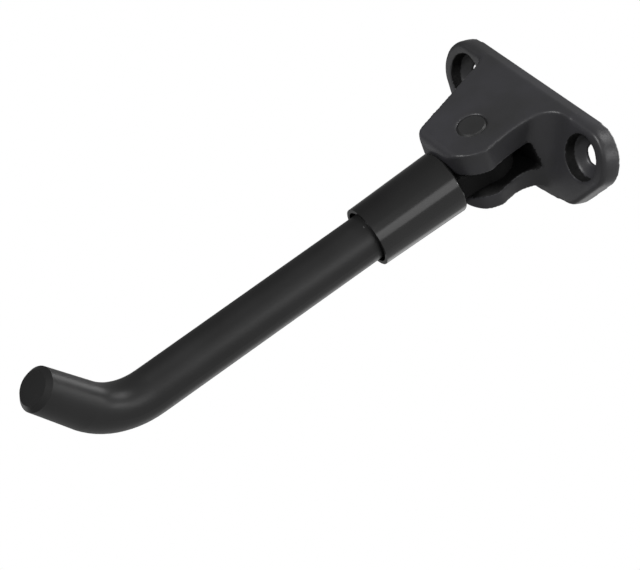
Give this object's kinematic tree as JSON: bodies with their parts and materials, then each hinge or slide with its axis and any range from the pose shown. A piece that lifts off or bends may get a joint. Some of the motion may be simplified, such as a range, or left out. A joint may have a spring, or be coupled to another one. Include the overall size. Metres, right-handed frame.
{
  "type": "electric scooter kickstand",
  "caption": "Side kickstand: cast bracket with bolt lugs and clevis ears, a bent round leg that folds on a pin, and a sprung sleeve that holds it out.",
  "frame": {"origin": "on the mounting face, halfway between the two bolt holes", "axes": "+Z out of the mounting face towards the deck, +X along the bolt line towards the side that the leg folds to, +Y the way the leg leans out"},
  "size_m": [0.0708, 0.0745, 0.1497],
  "materials": {
    "cast_black": "satin black powder coat on a die casting",
    "pin_black": "satin black, coated with the bracket",
    "rod_black": "satin black powder coat on round bar",
    "sleeve_black": "gloss black on drawn steel tube",
    "spring_steel": "bare spring wire"
  },
  "bodies": {
    "bracket": {"bracket": "cast_black", "pivot_pin": "pin_black"},
    "leg": {"leg": "rod_black", "sleeve_spring": "spring_steel"},
    "sleeve": {"sleeve": "sleeve_black"}
  },
  "joints": [
    {"name": "leg_swing", "type": "hinge", "parent": "bracket", "child": "leg", "pos_m": [0, 0.0095, -0.0165], "axis": [0, -0.8988, -0.4384], "range_deg": [0, 90]},
    {"name": "sleeve_slide", "type": "slide", "parent": "leg", "child": "sleeve", "axis": [0, 0.4384, -0.8988], "range_m": [0, 0.003], "stiffness_N_per_m": 1500, "springref_m": -0.004, "deforming": ["sleeve_spring"]}
  ]
}
